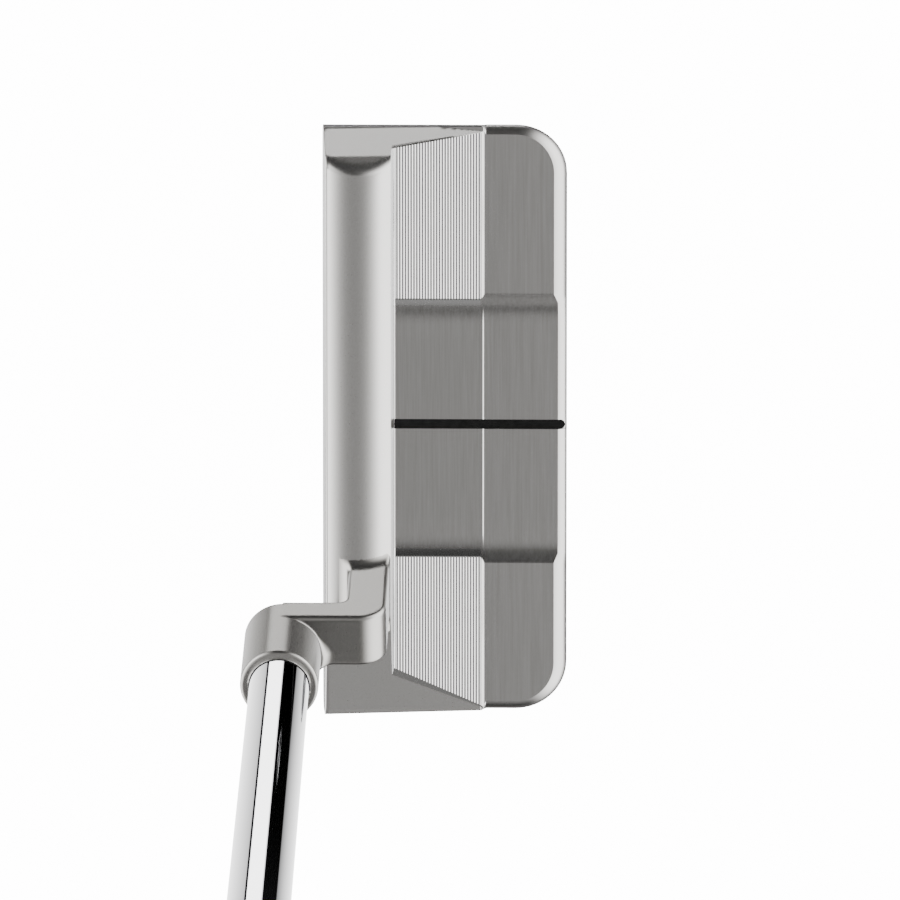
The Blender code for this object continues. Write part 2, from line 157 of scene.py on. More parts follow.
# ---- head --------------------------------------------------------------------------------------
def dome_centre():
    """Centre and radius of the topline's arc through its front edge, crown and rear edge."""
    (y1, z1), (y2, z2), (y3, z3) = (
        (FACE_TOP_Y, FACE_TOP_Z), (CROWN_Y, CROWN_Z), (WALL_Y, WALL_TOP_Z))
    d = 2.0 * (y1 * (z2 - z3) + y2 * (z3 - z1) + y3 * (z1 - z2))
    s1, s2, s3 = y1 * y1 + z1 * z1, y2 * y2 + z2 * z2, y3 * y3 + z3 * z3
    cy = (s1 * (z2 - z3) + s2 * (z3 - z1) + s3 * (z1 - z2)) / d
    cz = (s1 * (y3 - y2) + s2 * (y1 - y3) + s3 * (y2 - y1)) / d
    return cy, cz, math.hypot(y1 - cy, z1 - cz)


DOME_Y, DOME_Z, DOME_RADIUS = dome_centre()


def dome_height(y):
    return DOME_Z + np.sqrt(np.maximum(DOME_RADIUS ** 2 - (y - DOME_Y) ** 2, 0.01))


TOE_SHOULDER = (10.5, 2.45)             # height at the toe and rise per mm
TOE_RAMP = (21.4, 1.8)                  # height at the toe crease and rise per mm
HEEL_SHOULDER = (14.2, 0.524, 50.7)     # height, fall per mm and place
RAMP_BLEND, HEEL_BLEND = 2.4, 0.9       # how softly the dome turns into each shoulder
FLANGE_RISE = (6.2, 0.7)                # where the field gives way to the flange, and over how much


def topline_height(x, y):
    """The domed topline cut by the toe's two planes and the heel's plane."""
    fall = SHOULDER_FALL_Y * (y - SHOULDER_REF_Y)
    toe_plane = TOE_SHOULDER[0] + TOE_SHOULDER[1] * (x - TOE_X) + fall
    toe_ramp = TOE_RAMP[0] + TOE_RAMP[1] * (x - TOE_CREASE_X) + fall
    heel_plane = HEEL_SHOULDER[0] - HEEL_SHOULDER[1] * (x - HEEL_SHOULDER[2]) + fall
    z = soft_min(dome_height(np.minimum(y, WALL_Y)), toe_ramp, RAMP_BLEND)
    z = soft_min(z, heel_plane, HEEL_BLEND)
    return np.minimum(z, toe_plane)


def channel_height(x):
    """The central channel: a flat floor that curves up at both ends."""
    out = np.clip(np.abs(x - CHANNEL_X) - CHANNEL_FLAT, 0.0, CHANNEL_RADIUS)
    return CHANNEL_FLOOR_Z + CHANNEL_RADIUS - np.sqrt(np.maximum(CHANNEL_RADIUS ** 2 - out ** 2, 0.0))


def bumper_line(y, ends):
    """Plan position of a bumper's inner wall."""
    t = np.clip((y - WALL_Y) / (STEP_Y - WALL_Y), 0.0, 1.0)
    return ends[0] + (ends[1] - ends[0]) * t


def groove_cut(y):
    """Depth of the ball-milled grooves below the field's ridges."""
    pitch = (GROOVE_END - GROOVE_START) / GROOVES
    inside = (y >= GROOVE_START) & (y <= GROOVE_END)
    phase = np.mod((y - GROOVE_START) / pitch, 1.0) * 2.0 - 1.0
    return np.where(inside, GROOVE_DEPTH * (1.0 - phase ** 4), 0.0)


class Rows:
    """The head grid's rows, from the face's top edge to the flange's rear edge."""
    front = np.concatenate([np.linspace(0.0, 0.975, 26), [0.984, 0.992, 0.997, 1.0]])
    fillet = 0.35
    corner_steps = 16

    @classmethod
    def positions(cls):
        front = FACE_TOP_Y + cls.front * (WALL_Y - FACE_TOP_Y)
        turn = np.linspace(0.0, math.pi / 2.0, 6)
        foot = WALL_Y + 0.01 + cls.fillet * (1.0 - np.cos(turn))
        pitch = (GROOVE_END - GROOVE_START) / GROOVES
        grooves = GROOVE_START + pitch / GROOVE_ROWS * np.arange(GROOVES * GROOVE_ROWS + 1)
        step = [6.2, 6.27, 6.34, 6.41, 6.48, 6.55, 6.62, 6.69, 6.76, 6.83, 6.9, 7.1, 7.4]
        flange = np.linspace(8.2, REAR_Y - CORNER_Y, 6)
        angle = np.linspace(0.0, math.pi / 2.0, cls.corner_steps + 1)[1:]
        corner = REAR_Y - CORNER_Y + (CORNER_Y - EDGE_FLANGE_REAR) * np.sin(angle)
        return np.concatenate([front, foot, grooves, step, flange, corner]), len(front), len(corner)


COLUMN_COUNTS = (10, 1, 5, 26, 10, 14, 8, 8, 1, 4, 1, 8, 8, 14, 6, 40, 1, 12)


def side_edge(y):
    """Width of the rounded edge at toe and heel, wider on the flange than beside the bumpers."""
    return EDGE_SIDE + (EDGE_FLANGE_SIDE - EDGE_SIDE) * smoothstep((y - STEP_Y + 0.2) / 0.8)


def rear_edge(x):
    """Width of the flange's rounded rear edge, narrower where the channel runs out."""
    out = np.abs(x - CHANNEL_X) - (CHANNEL_FLAT + 4.2)
    return EDGE_CHANNEL_REAR + (EDGE_FLANGE_REAR - EDGE_CHANNEL_REAR) * np.clip(out / 1.6, 0.0, 1.0)


def corner_pull(y, edge):
    """How far the rounded rear corner pulls the toe and heel sides in, at an inset from the outline."""
    start = REAR_Y - CORNER_Y
    reach_x = CORNER_X - EDGE_FLANGE_SIDE
    reach_y = CORNER_Y - edge
    t = np.clip((y - start) / reach_y, 0.0, 1.0)
    return reach_x * (1.0 - np.sqrt(1.0 - t * t))


def column_lines(y, top):
    """The head's lengthwise feature lines at one row, from toe to heel."""
    toe = TOE_X + (side_edge(y) if top else SOLE_EDGE)
    heel = HEEL_X - (side_edge(y) if top else SOLE_EDGE)
    if top and y <= STEP_Y:
        toe_wall, heel_wall = bumper_line(y, TOE_BUMPER_X), bumper_line(y, HEEL_BUMPER_X)
    elif top:
        t = min((y - STEP_Y) / 0.6, 1.0)
        toe_wall = TOE_BUMPER_X[1] + t * (TOE_X + EDGE_FLANGE_SIDE + 0.7 - TOE_BUMPER_X[1])
        heel_wall = HEEL_BUMPER_X[1] + t * (HEEL_X - EDGE_FLANGE_SIDE - 0.7 - HEEL_BUMPER_X[1])
    else:
        toe_wall, heel_wall = TOE_X + 2.4, HEEL_X - 2.4
    half = LINE_HALF
    flat = CHANNEL_FLAT
    seam = 0.015        # half the width of a step's wall in plan
    left = [toe, toe_wall - seam, toe_wall + seam, TOE_CREASE_X, -46.4, -24.2, -21.5, CHANNEL_X - flat]
    middle = [-half - seam, -half, half, half + seam]
    right = [CHANNEL_X + flat, 22.5, 25.2, 30.0, heel_wall - seam, heel_wall + seam, heel]
    pull = corner_pull(y, EDGE_FLANGE_REAR)
    inner = -25.2
    left = [x if x > inner else inner + (x - inner) * (inner - toe - pull) / (inner - toe) for x in left]
    right = [x if x < -inner else
             -inner + (x + inner) * (heel - pull + inner) / (heel + inner) for x in right]
    return left + middle + right


def row_x(y, top):
    lines = column_lines(y, top)
    xs = [np.array([lines[0]])]
    for (a, b), n in zip(zip(lines, lines[1:]), COLUMN_COUNTS):
        xs.append(a + (b - a) * np.arange(1, n + 1) / n)
    return np.concatenate(xs)


def column_index(line):
    """The grid column on a feature line."""
    return sum(COLUMN_COUNTS[:line])


def head_top():
    """The upper surface as grids of x, y and z."""
    ys, n_front, _ = Rows.positions()
    x = np.array([row_x(y, True) for y in ys])
    y = np.repeat(ys[:, None], x.shape[1], axis=1)
    # The front rows start on the lofted face, so they move forward where the shoulders are lower.
    front_y = np.full(x.shape[1], FACE_TOP_Y)
    for _ in range(4):
        front_y = FACE_TOP_Y - (FACE_TOP_Z - topline_height(x[0], front_y + EDGE_SIDE)) * FACE_LOFT
    front_y = front_y + EDGE_SIDE
    y[:n_front] = front_y + Rows.front[:, None] * (WALL_Y - front_y)
    # The last rows stop at the rounded rear edge, whose width changes at the channel.
    bend = REAR_Y - CORNER_Y
    rear = REAR_Y - rear_edge(x)
    back = ys >= bend
    y[back] = bend + (y[back] - bend) * (rear[back] - bend) / (REAR_Y - EDGE_FLANGE_REAR - bend)

    upper = topline_height(x, y)
    edge, width = FLANGE_RISE
    flange = FIELD_Z + (FLANGE_Z - FIELD_Z) * smoothstep((y - edge) / width)
    floor = np.where(y < edge, FIELD_Z - groove_cut(y), flange)
    lower = soft_min(floor, channel_height(x), 0.05)
    sill = 0.2 * smoothstep((y - 6.45) / 0.3) * smoothstep((CHANNEL_FLAT + 4.0 - np.abs(x - CHANNEL_X)) / 4.0)
    lower = lower + sill
    foot = Rows.fillet
    d = np.clip(y - WALL_Y - 0.01, 0.0, foot)
    lower = lower + np.where(y < WALL_Y + 0.01 + foot, foot - np.sqrt(foot ** 2 - (foot - d) ** 2), 0.0)
    slot_a, slot_b = column_index(9), column_index(10)
    slot = np.zeros(x.shape, bool)
    slot[n_front + 1:, slot_a:slot_b + 1] = True
    lower = np.where(slot, CHANNEL_FLOOR_Z - LINE_DEPTH, lower)

    z = lower.copy()
    z[:n_front] = upper[:n_front]
    # Bumpers carry the shoulder planes rearwards over the fields and run out at the flange.
    reach = (ys > WALL_Y) & (ys <= STEP_Y)
    bumper = np.zeros(x.shape, bool)
    bumper[np.ix_(reach, np.arange(column_index(1) + 1))] = True
    bumper[np.ix_(reach, np.arange(column_index(17), x.shape[1]))] = True
    run_out = smoothstep((STEP_Y + 0.1 - y) / 0.5)
    above = np.maximum(upper - FLANGE_Z, 0.02)
    z = np.where(bumper, FLANGE_Z + above * run_out, z)
    # A small chamfer breaks the toe bumper's inner edge.
    edge = column_index(1)
    z[reach, edge] -= BUMPER_CHAMFER * run_out[reach, edge]
    return x, y, z, n_front


def sole_height(x, y):
    ends = 1.25 * (np.abs(x) - 18.0) / 32.0
    for tip in (TOE_X, HEEL_X):
        inside = np.clip((END_ROUND - np.abs(x - tip)) / END_ROUND, 0.0, 1.0)
        rise = END_WALL_Z - 1.25
        ends = np.maximum(ends, np.where(inside > 0.0, END_WALL_Z - rise * np.sqrt(1.0 - inside ** 2), 0.0))
    front = 0.6 * (-12.0 - y) / 9.8
    rear = 1.2 * (y - 9.0) / 12.0
    return np.maximum(np.maximum(ends, 0.0), np.maximum(front, rear))


def head_sole():
    """The sole on the same grid, inside its own rounded edge."""
    ys, n_front, _ = Rows.positions()
    x = np.array([row_x(y, False) for y in ys])
    t = (ys - ys[0]) / (ys[-1] - ys[0])
    low = FACE_TOP_Y - (FACE_TOP_Z - 1.5) * FACE_LOFT + SOLE_EDGE
    y = np.repeat((low + t * (REAR_Y - EDGE_FLANGE_REAR - low))[:, None], x.shape[1], axis=1)
    return x, y, sole_height(x, y)


def border(rows, cols):
    """The grid's outline as (row, column) pairs: rear edge, heel, face, toe."""
    loop = [(rows - 1, c) for c in range(cols)]
    loop += [(r, cols - 1) for r in range(rows - 2, -1, -1)]
    loop += [(0, c) for c in range(cols - 2, -1, -1)]
    loop += [(r, 0) for r in range(1, rows - 1)]
    return loop


def outline_point(x, y, z, r, c, n_front):
    """Where the walls stand outside one border point of the top."""
    rows, cols = x.shape
    if r == rows - 1:
        return x[r, c], REAR_Y
    px, py = x[r, c], y[r, c]
    if c in (0, cols - 1):
        side = TOE_X if c == 0 else HEEL_X
        inward = 1.0 if c == 0 else -1.0
        px = side
        start = REAR_Y - CORNER_Y
        if py > start:
            # The corner's inner arc point maps to the outer arc at the same angle.
            sine = min((py - start) / (CORNER_Y - EDGE_FLANGE_REAR), 1.0)
            cosine = math.sqrt(max(1.0 - sine * sine, 0.0))
            px = side + inward * CORNER_X * (1.0 - cosine)
            py = start + CORNER_Y * sine
    if r == 0:
        py = FACE_TOP_Y - (FACE_TOP_Z - z[r, c]) * FACE_LOFT
    return px, py


def head_mesh():
    x, y, z, n_front = head_top()
    rows, cols = x.shape
    top = np.stack([x, y, z], axis=-1).reshape(-1, 3)
    points = [tuple(p) for p in top]
    faces = []
    zones = []
    fillet_rows = n_front + 6
    last_groove = fillet_rows + GROOVES * GROOVE_ROWS
    for r in range(rows - 1):
        for c in range(cols - 1):
            a = r * cols + c
            faces.append((a, a + 1, a + cols + 1, a + cols))
            inside = column_index(2) <= c < column_index(16)
            flat = column_index(6) <= c < column_index(13)
            if r < n_front or not inside and r < last_groove:
                zones.append(0)
            elif flat:
                zones.append(2)
            elif r < last_groove:
                zones.append(1)
            else:
                zones.append(3)
    loop = border(rows, cols)
    outer = np.array([outline_point(x, y, z, r, c, n_front) for r, c in loop])
    inner = np.array([(x[r, c], y[r, c]) for r, c in loop])
    start_z = np.array([z[r, c] for r, c in loop])
    width = np.hypot(*(outer - inner).T)
    wide = smoothstep((width - 0.6) / 0.8)
    first = np.radians(28.0) * wide
    last = np.radians(90.0 - 10.0 * wide)
    scale = width / (np.sin(last) - np.sin(first))

    def ring(share):
        angle = first + (last - first) * share
        reach = (np.sin(angle) - np.sin(first)) / (np.sin(last) - np.sin(first))
        drop = scale * (np.cos(first) - np.cos(angle))
        xy = inner + (outer - inner) * reach[:, None]
        return np.column_stack([xy, start_z - drop])

    end_side = np.array([c in (0, cols - 1) and r > 0 for r, c in loop])
    wall_low = np.where(end_side, END_WALL_Z, 1.5 + SOLE_EDGE + sole_height(outer[:, 0], outer[:, 1]) * 0.6)
    face_side = np.array([r == 0 for r, c in loop])
    rings = [ring(k / 7.0) for k in range(1, 8)]
    edge = rings[-1]
    wall = edge.copy()
    wall[:, 2] = np.minimum(wall_low, edge[:, 2] - 0.2)
    wall[:, 1] -= np.where(face_side, (edge[:, 2] - wall[:, 2]) * FACE_LOFT, 0.0)
    rings.append(wall)
    sx, sy, sz = head_sole()
    base = np.array([(sx[r, c], sy[r, c], sz[r, c]) for r, c in loop])
    for k in range(1, 5):
        angle = math.pi / 2.0 * k / 5.0
        blend = wall.copy()
        blend[:, :2] += (base[:, :2] - wall[:, :2]) * (1.0 - math.cos(angle))
        blend[:, 2] += (base[:, 2] - wall[:, 2]) * math.sin(angle)
        rings.append(blend)
    n = len(loop)
    previous = [r * cols + c for r, c in loop]
    for points_in_ring in rings:
        first_index = len(points)
        points += [tuple(p) for p in points_in_ring]
        current = list(range(first_index, first_index + n))
        for i in range(n):
            j = (i + 1) % n
            faces.append((previous[i], previous[j], current[j], current[i]))
            zones.append(0)
        previous = current
    first_index = len(points)
    points += [tuple(p) for p in np.stack([sx, sy, sz], axis=-1).reshape(-1, 3)]
    for i in range(n):
        j = (i + 1) % n
        a, b = (first_index + loop[k][0] * cols + loop[k][1] for k in (i, j))
        faces.append((previous[i], previous[j], b, a))
        zones.append(0)
    for r in range(rows - 1):
        for c in range(cols - 1):
            a = first_index + r * cols + c
            faces.append((a, a + cols, a + cols + 1, a + 1))
            zones.append(4)
    mesh = mesh_from("head", points, faces)
    mesh.polygons.foreach_set("material_index", zones)
    return mesh


def turned_mesh(name, profile, matrix, segments):
    """A turned solid from a closed profile of (radius, height); radius 0 becomes one vertex."""
    points = []
    rings = []
    for radius, height in profile:
        if radius == 0.0:
            rings.append([len(points)] * segments)
            points.append(matrix @ Vector((0.0, 0.0, height)))
            continue
        rings.append(list(range(len(points), len(points) + segments)))
        for i in range(segments):
            a = 2.0 * math.pi * i / segments
            points.append(matrix @ Vector((radius * math.cos(a), radius * math.sin(a), height)))
    faces = []
    for k, ring in enumerate(rings):
        after = rings[(k + 1) % len(rings)]
        for i in range(segments):
            j = (i + 1) % segments
            corners = list(dict.fromkeys((ring[i], ring[j], after[j], after[i])))
            if len(corners) > 2:
                faces.append(corners)
    return mesh_from(name, points, faces)


def face_out(mesh):
    bm = bmesh.new()
    bm.from_mesh(mesh)
    bmesh.ops.recalc_face_normals(bm, faces=bm.faces)
    bm.to_mesh(mesh)
    bm.free()


def cut_mesh(target, tool_mesh):
    """Cuts a tool out of a piece with an exact boolean, applied."""
    tool = bpy.data.objects.new("cutter", tool_mesh)
    bpy.context.scene.collection.objects.link(tool)
    mod = target.modifiers.new("cut", "BOOLEAN")
    mod.operation = "DIFFERENCE"
    mod.solver = "EXACT"
    mod.object = tool
    bpy.context.view_layer.update()
    graph = bpy.context.evaluated_depsgraph_get()
    mesh = bpy.data.meshes.new_from_object(target.evaluated_get(graph))
    target.modifiers.clear()
    target.data = mesh
    bpy.data.objects.remove(tool)


def axis_matrix():
    side = AXIS.cross(ACROSS)
    return Matrix.Translation(RIM_CENTRE) @ Matrix((ACROSS, side, AXIS)).transposed().to_4x4()


# ---- neck --------------------------------------------------------------------------------------
def rounded_corner(a, b, radius):
    """Distance to the quadrant a < 0, b < 0 with its corner rounded."""
    qa, qb = a + radius, b + radius
    return np.hypot(np.maximum(qa, 0.0), np.maximum(qb, 0.0)) + np.minimum(np.maximum(qa, qb), 0.0) - radius


def neck_distance(u, y, w):
    """Distance to the neck's surface; u is across the shaft's axis, w along it from the rim."""
    z = RIM_CENTRE.z + u * ACROSS.z + w * AXIS.z
    radial = np.hypot(u, y - RIM_CENTRE.y)
    barrel = np.maximum(rounded_corner(radial - BARREL_RADIUS, w, 0.65),
                        rounded_corner(radial - BARREL_RADIUS, -BARREL_LENGTH - w, 1.4))
    bottom = -BARREL_LENGTH
    outer = rounded_corner(y - NECK_REAR_Y, w - bottom - ARM_HEIGHT, 5.0)
    inner = rounded_corner(y - LEG_FRONT_Y, w - bottom, 1.8)
    half = (ARM_HEEL_SIDE + BARREL_RADIUS) / 2.0
    middle = ARM_HEEL_SIDE - half
    slab = soft_max(np.maximum(outer, -inner), np.abs(u - middle) - half, 0.9)
    slab = np.maximum(slab, RIM_CENTRE.y - y)
    blend = 0.2 + 2.4 * smoothstep((u + 3.5) / 4.0)
    neck = soft_min(barrel, slab, blend)
    dome = np.hypot(y - DOME_Y, z - DOME_Z) - DOME_RADIUS + 0.04
    neck = soft_min(neck, dome, 2.4)
    column = np.maximum(np.abs(u - middle) - half - 3.0, LEG_FRONT_Y - 3.0 - y)
    neck = np.maximum(neck, np.minimum(bottom - 5.0 - w, column))
    neck = np.maximum(neck, -dome - 0.9)
    neck = soft_max(neck, y - WALL_Y + 0.02, 0.3)
    bore = np.maximum(radial - BORE_RADIUS, -17.0 - w)
    return soft_max(neck, -bore, 0.15)


def surface_nets(distance, low, high, step):
    """A quad mesh on a distance field's zero surface, in the field's own coordinates."""
    axes = [np.arange(a, b + step, step) for a, b in zip(low, high)]
    field = distance(axes[0][:, None, None], axes[1][None, :, None], axes[2][None, None, :])
    field = np.broadcast_to(field, [len(a) for a in axes])
    cells = [n - 1 for n in field.shape]
    total = np.zeros(cells + [3])
    count = np.zeros(cells)
    crossings = []
    for axis in range(3):
        f = np.moveaxis(field, axis, 0)
        lower, upper = f[:-1], f[1:]
        hit = np.argwhere((lower < 0.0) != (upper < 0.0))
        a, b = lower[tuple(hit.T)], upper[tuple(hit.T)]
        share = a / (a - b)
        others = [k for k in range(3) if k != axis]
        index = np.empty((len(hit), 3), int)
        index[:, axis] = hit[:, 0]
        index[:, others[0]] = hit[:, 1]
        index[:, others[1]] = hit[:, 2]
        place = index.astype(float)
        place[:, axis] += share
        inside = np.ones(len(hit), bool)
        for k in others:
            inside &= (index[:, k] > 0) & (index[:, k] < cells[k])
        index, place, a = index[inside], place[inside], a[inside]
        corners = []
        for s, t in ((0, 0), (1, 0), (1, 1), (0, 1)):
            cell = index.copy()
            cell[:, others[0]] -= s
            cell[:, others[1]] -= t
            np.add.at(total, tuple(cell.T), place)
            np.add.at(count, tuple(cell.T), 1.0)
            corners.append(cell)
        crossings.append((corners, (a < 0.0) != (axis == 1)))
    used = count > 0
    number = np.full(cells, -1)
    number[used] = np.arange(used.sum())
    points = total[used] / count[used][:, None] * step + np.array(low)
    faces = []
    for corners, flip in crossings:
        quad = np.stack([number[tuple(c.T)] for c in corners], axis=1)
        quad[flip] = quad[flip][:, ::-1]
        faces.append(quad)
    return points, np.concatenate(faces)


def settle_on(distance, points, rounds=3):
    """Moves points onto the field's zero surface along its slope."""
    tiny = 0.01
    for _ in range(rounds):
        value = distance(*points.T)
        slope = np.empty_like(points)
        for k in range(3):
            shift = np.zeros(3)
            shift[k] = tiny
            slope[:, k] = (distance(*(points + shift).T) - distance(*(points - shift).T)) / (2.0 * tiny)
        size = np.maximum((slope ** 2).sum(axis=1), 0.25)
        points = points - np.clip(value / size, -0.2, 0.2)[:, None] * slope
    return points


def neck_mesh():
    step = 0.2
    low = (-8.0, RIM_CENTRE.y - 8.0, -36.0)
    high = (6.95 + 0.6, WALL_Y + 0.8, 0.8)
    points, faces = surface_nets(neck_distance, low, high, step)
    points = settle_on(neck_distance, points)
    origin = np.array(RIM_CENTRE)
    world = origin + points[:, :1] * np.array(ACROSS) + points[:, 2:] * np.array(AXIS)
    world[:, 1] = points[:, 1]
    mesh = mesh_from("neck", world, faces)
    face_out(mesh)
    return mesh


# ---- shaft and grip ----------------------------------------------------------------------------
def shaft_radius(along):
    return 5.25 + (7.5 - 5.25) * along / CLUB_END


def shaft_mesh():
    tip, end = -16.5, CLUB_END - 3.4
    wall = 0.6
    outer = [(shaft_radius(tip) - 0.25, tip), (shaft_radius(tip), tip + 0.25)]
    for k in range(1, 24):
        along = tip + (end - tip) * k / 24.0
        outer.append((shaft_radius(along), along))
    outer += [(shaft_radius(end), end - 0.2), (shaft_radius(end) - 0.2, end)]
    inner = [(shaft_radius(end) - wall, end), (shaft_radius(tip) - wall, tip)]
    mesh = turned_mesh("shaft_tube", outer + inner, axis_matrix(), 192)
    face_out(mesh)
    return mesh


GRIP_LENGTH = 267.0
GRIP_MOUTH = 9.6
CAP_THICKNESS = 3.0


def grip_section(share):
    swell = share * share * (3.0 - 2.0 * share)
    width = GRIP_MOUTH + (12.2 - GRIP_MOUTH) * swell
    front = GRIP_MOUTH + (10.6 - GRIP_MOUTH) * swell
    pistol = math.exp(-((share - 0.97) / 0.22) ** 2)
    belly = GRIP_MOUTH + (11.4 - GRIP_MOUTH) * swell + 4.6 * pistol
    return width, front, belly


def grip_outline(share, count, inset=0.12):
    width, front, belly = (r - inset for r in grip_section(share))
    squareness = 2.0 + 1.6 * min(1.0, share * 4.0)
    a = 2.0 * math.pi * np.arange(count) / count
    c, s = np.cos(a), np.sin(a)
    power = np.where(c < 0.0, squareness, 2.0)
    reach = np.where(c < 0.0, front, belly)
    u = np.copysign(np.abs(c) ** (2.0 / power), c) * reach
    v = np.copysign(np.abs(s) ** (2.0 / power), s) * width
    return np.column_stack([u, v])


def grip_relief(along, outline):
    """Depth of the moulded pattern: fine cross ribs round the back and a diamond cut on the front."""
    low = CLUB_END - GRIP_LENGTH
    t = along - low
    band = smoothstep((t - 14.0) / 2.0) * smoothstep((GRIP_LENGTH - 16.0 - t) / 2.0)
    u, v = outline[:, 0], outline[:, 1]
    front = smoothstep((-u - 6.5) / 1.2) * smoothstep((8.2 - np.abs(v)) / 0.8)
    back = smoothstep((u + 3.5) / 1.2)
    pitch = 3.4
    rising = np.abs(np.mod((v + t) / pitch, 1.0) - 0.5)
    falling = np.abs(np.mod((v - t) / pitch, 1.0) - 0.5)
    diamond = np.minimum(rising, falling)
    diamond = 0.32 * smoothstep((0.13 - diamond) / 0.08)
    ribs = 0.28 * (0.5 - 0.5 * math.cos(2.0 * math.pi * t / 2.4)) ** 2
    return band * (front * diamond + back * ribs)


def grip_mesh():
    count = 200
    low, high = CLUB_END - GRIP_LENGTH, CLUB_END - CAP_THICKNESS - 0.3
    stations = np.linspace(low + 1.2, high, 520)
    matrix = np.array(axis_matrix())
    rings = []
    for lift, drop in ((0.0, 1.2), (0.15, 0.7), (0.5, 0.3)):
        ring = grip_outline(0.0, count, drop)
        rings.append(np.column_stack([ring, np.full(count, low + lift)]))
    for along in stations:
        share = (along - low) / GRIP_LENGTH
        ring = grip_outline(share, count)
        length = np.hypot(*ring.T)
        ring = ring * (1.0 - grip_relief(along, ring) / length)[:, None]
        rings.append(np.column_stack([ring, np.full(count, along)]))
    turn = 2.0 * math.pi * np.arange(count) / count
    for along in (high, low):
        bore = shaft_radius(along) + 0.41
        ring = np.column_stack([bore * np.cos(turn), bore * np.sin(turn)])
        rings.append(np.column_stack([ring, np.full(count, along)]))
    points = np.concatenate(rings)
    points = points @ matrix[:3, :3].T + matrix[:3, 3]
    faces = []
    for k in range(len(rings)):
        m = (k + 1) % len(rings)
        for i in range(count):
            j = (i + 1) % count
            faces.append((k * count + i, k * count + j, m * count + j, m * count + i))
    mesh = mesh_from("grip", points, faces)
    face_out(mesh)
    return mesh


def cap_mesh():
    """The grip's end cap: a stepped rim, a shallow dish and the vent hole."""
    count = 120
    base = CLUB_END - CAP_THICKNESS
    levels = [
        (base, 0.985), (base + 0.2, 1.0), (base + 1.1, 1.0), (base + 1.2, 0.975), (base + 1.5, 0.975),
        (base + 1.6, 1.0), (CLUB_END - 0.9, 1.0), (CLUB_END - 0.3, 0.975), (CLUB_END, 0.93),
        (CLUB_END, 0.80), (CLUB_END - 0.5, 0.76), (CLUB_END - 0.7, 0.3)]
    outline = grip_outline(1.0, count)
    turn = 2.0 * math.pi * np.arange(count) / count
    rings = [np.column_stack([outline * scale, np.full(count, along)]) for along, scale in levels]
    for along in (CLUB_END - 0.7, base):
        rings.append(np.column_stack([1.5 * np.cos(turn), 1.5 * np.sin(turn), np.full(count, along)]))
    matrix = np.array(axis_matrix())
    points = np.concatenate(rings) @ matrix[:3, :3].T + matrix[:3, 3]
    faces = []
    for k in range(len(rings)):
        m = (k + 1) % len(rings)
        for i in range(count):
            j = (i + 1) % count
            faces.append((k * count + i, k * count + j, m * count + j, m * count + i))
    mesh = mesh_from("cap", points, faces)
    face_out(mesh)
    return mesh


# ---- sight line and sole weights ---------------------------------------------------------------
def sight_line_mesh():
    """Enamel in the groove: nearly level with the floor and slightly dished across."""
    ys = np.concatenate([np.linspace(WALL_Y + 0.06, 19.0, 40), np.linspace(19.2, LINE_REAR_Y, 12)])
    profile = np.linspace(-1.0, 1.0, 9)
    half = LINE_HALF - 0.02
    points = []
    for y in ys:
        end = min((LINE_REAR_Y - y) / half, 1.0)
        reach = half * math.sqrt(max(1.0 - (1.0 - end) ** 2, 0.02))
        for t in profile:
            points.append((reach * t, y, CHANNEL_FLOOR_Z - 0.07 - 0.07 * (1.0 - t * t)))
        for t in profile[::-1]:
            points.append((reach * t, y, CHANNEL_FLOOR_Z - LINE_DEPTH + 0.03))
    n = 2 * len(profile)
    faces = [tuple(range(n))[::-1], tuple(len(points) - n + i for i in range(n))]
    for k in range(len(ys) - 1):
        for i in range(n):
            j = (i + 1) % n
            faces.append((k * n + i, k * n + j, (k + 1) * n + j, (k + 1) * n + i))
    mesh = mesh_from("sight_line", points, faces)
    face_out(mesh)
    return mesh


def weight_mesh(name, low, high):
    """A sole weight inside its CAD node's box: chamfered head, undercut and threaded stem."""
    x, y = (low[:2] + high[:2]) / 2.0
    z0, z1 = low[2], high[2]
    radius = (high[0] - low[0]) / 2.0
    head = 1.5
    stem = 3.9
    profile = [(0.0, 0.0), (radius - 1.15, 0.0), (radius - 1.05, 0.12), (radius - 0.95, 0.0),
               (radius - 0.3, 0.0), (radius - 0.08, 0.08), (radius, 0.3), (radius, head - 0.1),
               (radius - 0.1, head), (stem - 0.4, head)]
    top = z1 - z0
    z = head + 0.3
    while z < top - 0.55:
        profile += [(stem - 0.4, z), (stem, z + 0.2), (stem, z + 0.26)]
        z += 0.5
    profile += [(stem - 0.4, top - 0.2), (stem - 0.6, top), (0.0, top)]
    mesh = turned_mesh(name, profile, Matrix.Translation(Vector((x, y, z0))), 96)
    face_out(mesh)
    return mesh, (x, y, z0)


def key_mesh(centre):
    """A hexagonal key socket with a chamfered mouth."""
    x, y, z = centre
    levels = [(-0.5, 2.65), (0.0, 2.65), (0.35, 2.3), (1.2, 2.3)]
    points = []
    for height, radius in levels:
        for i in range(6):
            a = math.pi / 3.0 * i
            points.append((x + radius * math.cos(a), y + radius * math.sin(a), z + height))
    faces = [tuple(range(6))[::-1], tuple(range(18, 24))]
    for k in range(3):
        for i in range(6):
            j = (i + 1) % 6
            faces.append((k * 6 + i, k * 6 + j, k * 6 + 6 + j, k * 6 + 6 + i))
    mesh = mesh_from("key", points, faces)
    face_out(mesh)
    return mesh


